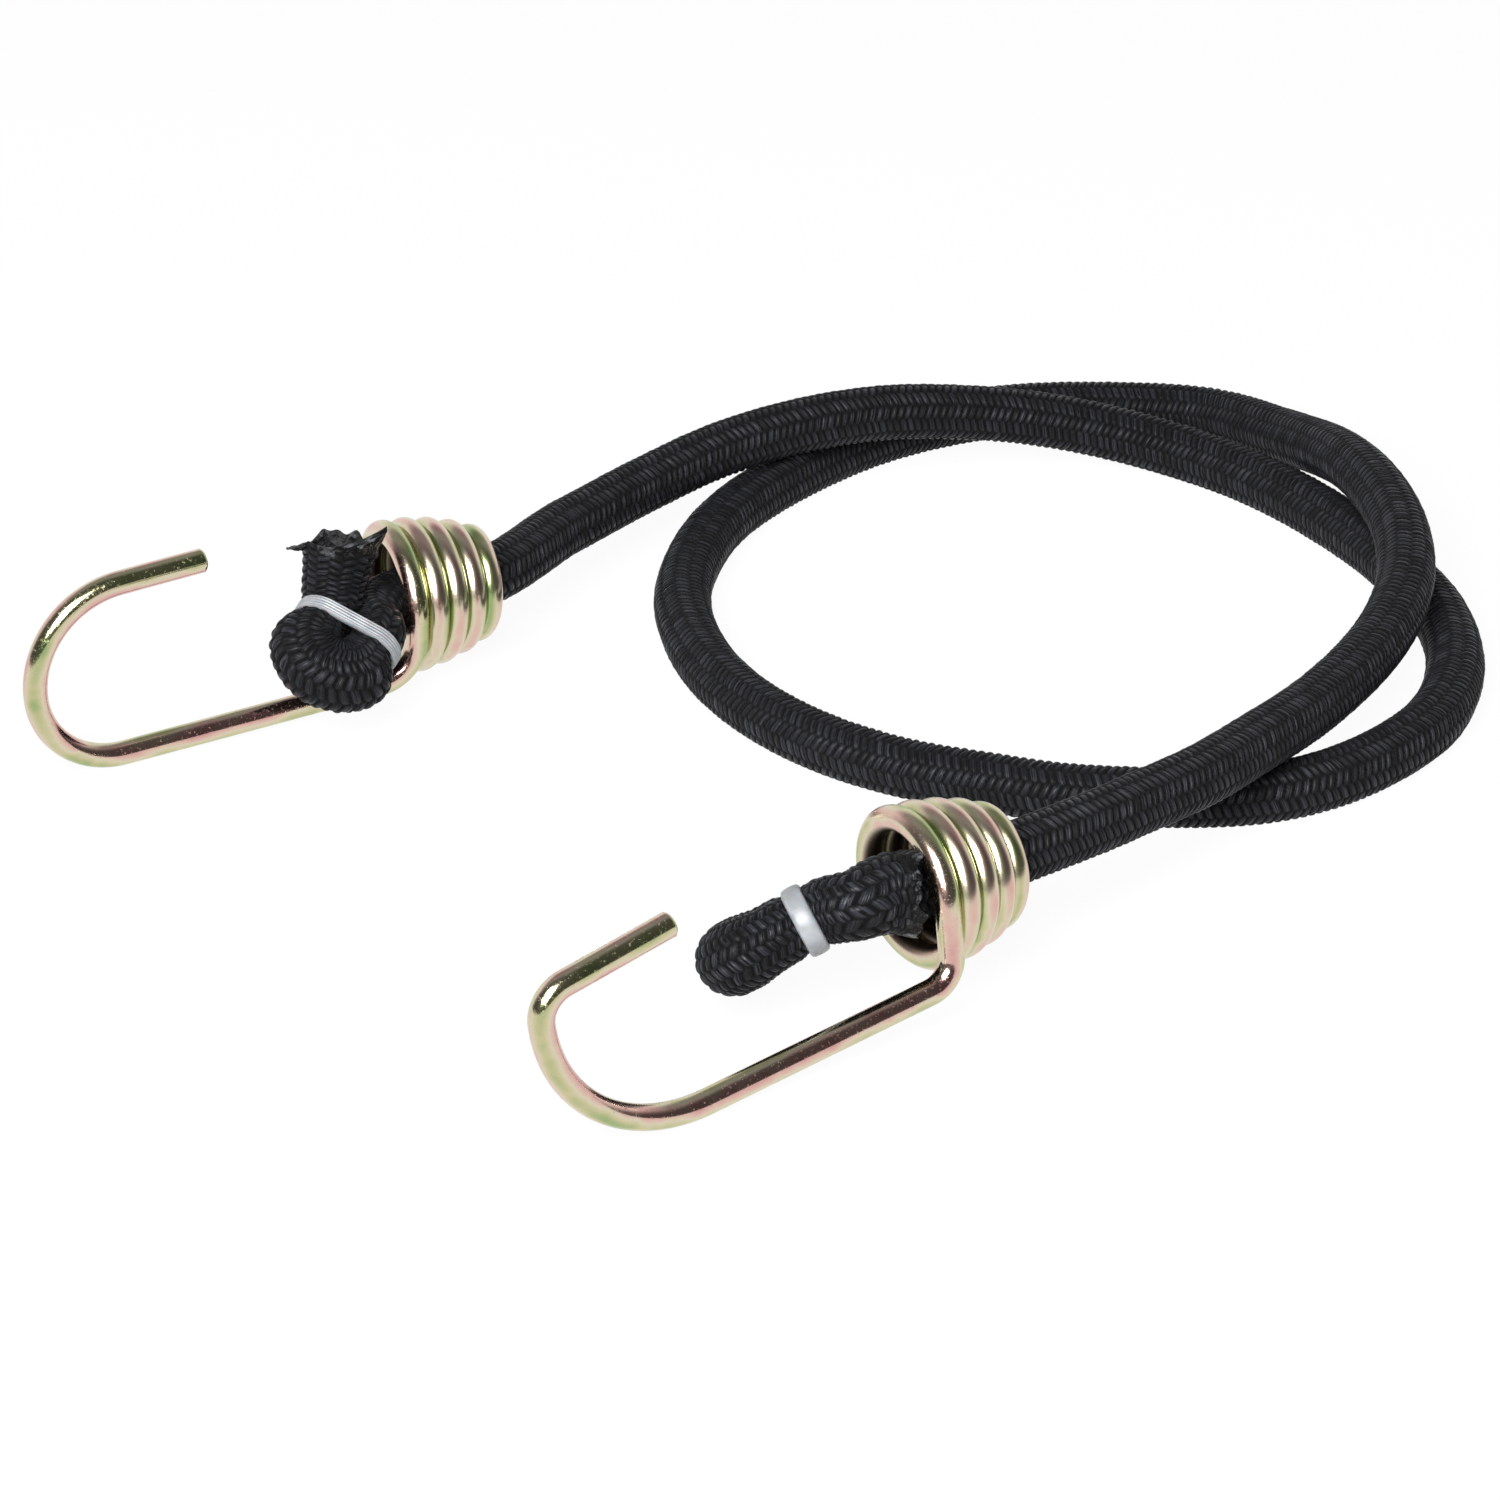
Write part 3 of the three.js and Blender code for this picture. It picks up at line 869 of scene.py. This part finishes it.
def film_and_reflection_round(rings):
    """Film thickness, 0 to 1, per ring and side; its bands by side are partly painted reflection."""
    along = np.arange(rings)[:, None] * WIRE_STEP
    angle = np.abs(np.linspace(-math.pi, math.pi, WIRE_SIDES, endpoint=False))[None, :]
    wander = sum(turn * np.sin(along / length + phase) for turn, length, phase in FILM_WANDER)
    # The bands by side of the wire paint in the tint of its reflections; the wander drifts them along
    # it.
    return FILM_MEAN + FILM_SWING * np.cos(FILM_BANDS * (angle - FILM_CREST) + wander)


def coil_shares(hook, line, around):
    """How far each point belongs to the wound wire and to the painted shade inside the coil, 0 to 1.
    """
    origin, axes = hook_frame(hook)
    place = (line - origin) @ axes.T
    radial = place * (0, 1, 1) / np.linalg.norm(place * (0, 1, 1), axis=1)[:, None]
    inward = -np.einsum("rsk,rk->rs", around, radial @ axes)
    wound = np.broadcast_to(smooth_step(-place[:, :1], *WOUND_FROM), inward.shape)
    return wound, wound * smooth_step(inward, *INSIDE_SHADE_FROM)


def wire_hook(name, hook, body):
    local, gap_way = hook_line(hook)
    line = in_world(hook, even_line(local, WIRE_STEP))
    line = np.vstack([line[0], line[0], line, line[-1], line[-1]])
    from_tip = unit(line[3] - line[2])
    from_end = unit(line[-4] - line[-3])
    line[1] += from_tip * CHAMFER_EDGE
    line[2] += from_tip * TIP_CHAMFER
    line[-3] += from_end * TIP_CHAMFER
    line[-2] += from_end * CHAMFER_EDGE
    normals, sides = carried_normals(line, gap_way @ hook_frame(hook)[1])
    around = directions_round(normals, sides, WIRE_SIDES)
    radius = np.full(len(line), WIRE_RADIUS)
    radius[[0, -1]] = WIRE_RADIUS - TIP_CHAMFER
    radius[[1, -2]] = WIRE_RADIUS - TIP_CHAMFER + CHAMFER_EDGE
    obj = tube_mesh(name, line[:, None] + around * radius[:, None, None])
    wound, inside_shade = coil_shares(hook, line, around)
    add_numbers(obj, "film_and_reflection", film_and_reflection_round(len(line)) - WOUND_THINNING * wound)
    # Where painted shade goes on the inside of the coil.
    add_numbers(obj, "inside_shade", inside_shade)
    add_numbers(obj, "wound", wound)
    obj.data.materials.append(wire_material)
    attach(obj, body)
    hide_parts(body)
    print(name, round(len(line) * WIRE_STEP), "mm of wire")


wire_hook("wire_hook_a", HOOK_A, "hook_a")
wire_hook("wire_hook_b", HOOK_B, "hook_b")

# %% [markdown]
# ## Undyed nylon bands
# The two legs of a fold are bound by a clear band of undyed nylon, one of them moulded with fine
# ribs round it. Nylon without pigment lets light in and scatters it, so it looks milky, with a
# soft gloss and clouds of a few millimetres.

# %% Band material
CLOUD = 2.5

band_material, tree = new_material("undyed_moulded_nylon")
place = add_node(tree, "ShaderNodeTexCoord")
cloud = add_node(
    tree, "ShaderNodeTexNoise",
    {"Vector": place.outputs["Object"], "Scale": 1 / (CLOUD * MM), "Detail": 3.0},
)
milk = add_node(
    tree, "ShaderNodeMix",
    {"Factor": cloud.outputs["Fac"], "A": linear("#5e6165"), "B": linear("#94979b")},
    data_type="RGBA",
)
band_bump = add_node(
    tree, "ShaderNodeBump", {"Height": cloud.outputs["Fac"], "Strength": 0.15, "Distance": 0.0003}
)
band_shader = add_node(
    tree, "ShaderNodeBsdfPrincipled",
    {
        "Base Color": milk.outputs["Result"],
        "Roughness": 0.38,
        "IOR": 1.53,
        "Subsurface Weight": 0.3,
        "Subsurface Scale": 0.001,
        "Normal": band_bump.outputs["Normal"],
    },
)
add_node(tree, "ShaderNodeOutputMaterial", {"Surface": band_shader.outputs["BSDF"]})
print("made", band_material.name)

# %% [markdown]
# ## The bands
# A band is a flat ring with round ends, pulled tight over both legs. Its section is a thin strap,
# with fine ribs or a single crown, swept round the ring.

# %% Bands
BAND_REACH = (4.35, 4.3)
BAND_STEPS = 96
STRAP_STEPS = 41
RIB_DEPTH = 0.16
STRAP_SQUARENESS = 8


def band_ring():
    """Points and outward directions of a ring round two cords side by side."""
    angles = np.linspace(0, 2 * math.pi, BAND_STEPS, endpoint=False)
    outward = np.column_stack([np.cos(angles), np.sin(angles)])
    centre = np.where(np.cos(angles) >= 0, FOLD_RADIUS, -FOLD_RADIUS)
    return outward * BAND_REACH + np.column_stack([centre, np.zeros(BAND_STEPS)]), outward


def strap_section(hook):
    """Offsets along the cord and heights above it, round the section of a strap."""
    width = np.linspace(-1, 1, STRAP_STEPS)
    ribs = np.abs(np.cos(width * math.pi * hook["ribs"] / 2))
    lift = hook["band_thickness"] * (1 - RIB_DEPTH + RIB_DEPTH * ribs)
    lift *= np.sqrt(np.clip(1 - width**STRAP_SQUARENESS, 0, 1))
    half_width = hook["band_width"] / 2
    return [*zip(width * half_width, lift), (half_width, 0), (-half_width, 0)]


def nylon_band(name, hook, body, node):
    across = unit(hook["across"])
    along = unit(hook["along"])
    third = np.cross(along, across)
    centre = np.array(hook["fold_centre"]) + along * hook["band_offset"]
    section = strap_section(hook)
    points = []
    for (x, y), (out_x, out_y) in zip(*band_ring()):
        for offset, height in section:
            flat = across * (x + out_x * height) + third * (y + out_y * height)
            points.append(flat + along * offset)
    count = len(section)
    faces = []
    for i in range(BAND_STEPS):
        ring = i * count
        after = (i + 1) % BAND_STEPS * count
        for k in range(count):
            next_k = (k + 1) % count
            faces.append([ring + k, ring + next_k, after + next_k, after + k])
    obj = new_piece(name, in_world(hook, np.array(points) + centre), faces)
    obj.data.materials.append(band_material)
    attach(obj, body)
    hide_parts(node)
    print(name, len(faces), "faces")


nylon_band("nylon_band_a", HOOK_A, "end_a", "band_a")
nylon_band("nylon_band_b", HOOK_B, "end_b", "band_b")

# %% [markdown]
# ## The studio
# The photograph is a cut-out on white. A pale floor runs out of the picture on all sides. To the
# camera and to reflections it is mostly plain white, and the rest of it takes light, so that
# the object keeps a soft shadow under it. It lies a hair below the object.

# %% Floor
FLOOR_SIZE = 6
FLOOR_DROP = 0.05
FLOOR_GLOW = 0.95
PAPER_WHITE = (0.85, 0.85, 0.85, 1)

floor_mesh = bpy.data.meshes.new("floor")
half = FLOOR_SIZE / 2
floor_mesh.from_pydata(
    [(-half, -half, 0), (half, -half, 0), (half, half, 0), (-half, half, 0)], [], [(0, 1, 2, 3)]
)
floor = bpy.data.objects.new("floor", floor_mesh)
floor.location.z = -FLOOR_DROP * MM
scene.collection.objects.link(floor)
floor_material, tree = new_material("white_studio_paper")
rays = add_node(tree, "ShaderNodeLightPath")
seen = add_node(
    tree, "ShaderNodeMath",
    {0: rays.outputs["Is Camera Ray"], 1: rays.outputs["Is Glossy Ray"]}, operation="MAXIMUM",
)
seen_through = add_node(
    tree, "ShaderNodeMath",
    {0: seen.outputs["Value"], 1: rays.outputs["Is Transmission Ray"]}, operation="MAXIMUM",
)
glow = add_node(
    tree, "ShaderNodeMath", {0: seen_through.outputs["Value"], 1: FLOOR_GLOW}, operation="MULTIPLY"
)
paper = add_node(tree, "ShaderNodeBsdfDiffuse", {"Color": PAPER_WHITE})
white = add_node(tree, "ShaderNodeEmission", {"Color": (1, 1, 1, 1), "Strength": 1.0})
floor_shader = add_node(
    tree, "ShaderNodeMixShader",
    {0: glow.outputs["Value"], 1: paper.outputs["BSDF"], 2: white.outputs["Emission"]},
)
add_node(tree, "ShaderNodeOutputMaterial", {"Surface": floor_shader.outputs["Shader"]})
floor_mesh.materials.append(floor_material)
print("floor:", FLOOR_SIZE, "m across")

# %% [markdown]
# ## Light
# One soft box hangs in front of the table, above the camera and a little to its left. It is
# turned towards the point that the camera looks at.

# %% Soft box
KEY_PLACE = (-0.25, -0.95, 0.8)
KEY_SIZE = 0.75
KEY_WATTS = 42

key_data = bpy.data.lights.new("key_box", "AREA")
key_data.shape = "SQUARE"
key_data.size = KEY_SIZE
key_data.energy = KEY_WATTS
key_box = bpy.data.objects.new("key_box", key_data)
key_box.location = KEY_PLACE
aim = np.array(LOOK_AT) * MM - np.array(KEY_PLACE)
tilt = math.pi / 2 + math.atan2(aim[2], math.hypot(aim[0], aim[1]))
key_box.rotation_euler = (tilt, 0, math.atan2(aim[1], aim[0]) - math.pi / 2)
scene.collection.objects.link(key_box)
print("lamps:", len(bpy.data.lights))

# %% [markdown]
# ## What the metal mirrors
# Bright metal shows whatever stands round it: here the white paper under it and behind it, the
# soft box, and the dim room above and in front, which draws the dark streaks along the wire. So
# the world is white to the camera, and a reflection sees it white only low down behind the table.

# %% Surroundings
ROOM_LIGHT = 0.1
DARK_SIDE = 0.08
CEILING = 0.3

world = bpy.data.worlds.new("white_studio")
world.use_nodes = True
tree = world.node_tree
tree.nodes.clear()
rays = add_node(tree, "ShaderNodeLightPath")
place = add_node(tree, "ShaderNodeTexCoord")
direction = add_node(tree, "ShaderNodeSeparateXYZ", {"Vector": place.outputs["Generated"]})
behind = add_node(
    tree, "ShaderNodeMapRange", {"Value": direction.outputs["Y"], "From Min": 0.15, "From Max": 0.45}
)
low = add_node(
    tree, "ShaderNodeMapRange",
    {
        "Value": direction.outputs["Z"], "From Min": 0.45, "From Max": 0.7,
        "To Min": 1.0, "To Max": 0.0,
    },
)
paper_seen = add_node(
    tree, "ShaderNodeMath", {0: behind.outputs["Result"], 1: low.outputs["Result"]},
    operation="MULTIPLY",
)
room = add_node(
    tree, "ShaderNodeMapRange",
    {
        "Value": direction.outputs["Y"], "From Min": -0.1, "From Max": 0.25,
        "To Min": DARK_SIDE, "To Max": CEILING,
    },
)
mirrored = add_node(
    tree, "ShaderNodeMapRange",
    {"Value": paper_seen.outputs["Value"], "To Min": room.outputs["Result"], "To Max": 1.0},
)
for_metal = add_node(
    tree, "ShaderNodeMix",
    {"Factor": rays.outputs["Is Glossy Ray"], "A": ROOM_LIGHT, "B": mirrored.outputs["Result"]},
    data_type="FLOAT",
)
plain = add_node(
    tree, "ShaderNodeMath",
    {0: rays.outputs["Is Camera Ray"], 1: rays.outputs["Is Transmission Ray"]}, operation="MAXIMUM",
)
level = add_node(
    tree, "ShaderNodeMix",
    {"Factor": plain.outputs["Value"], "A": for_metal.outputs["Result"], "B": 1.0},
    data_type="FLOAT",
)
backdrop = add_node(
    tree, "ShaderNodeBackground", {"Color": (1, 1, 1, 1), "Strength": level.outputs["Result"]}
)
add_node(tree, "ShaderNodeOutputWorld", {"Surface": backdrop.outputs["Background"]})
scene.world = world
print("world:", world.name)
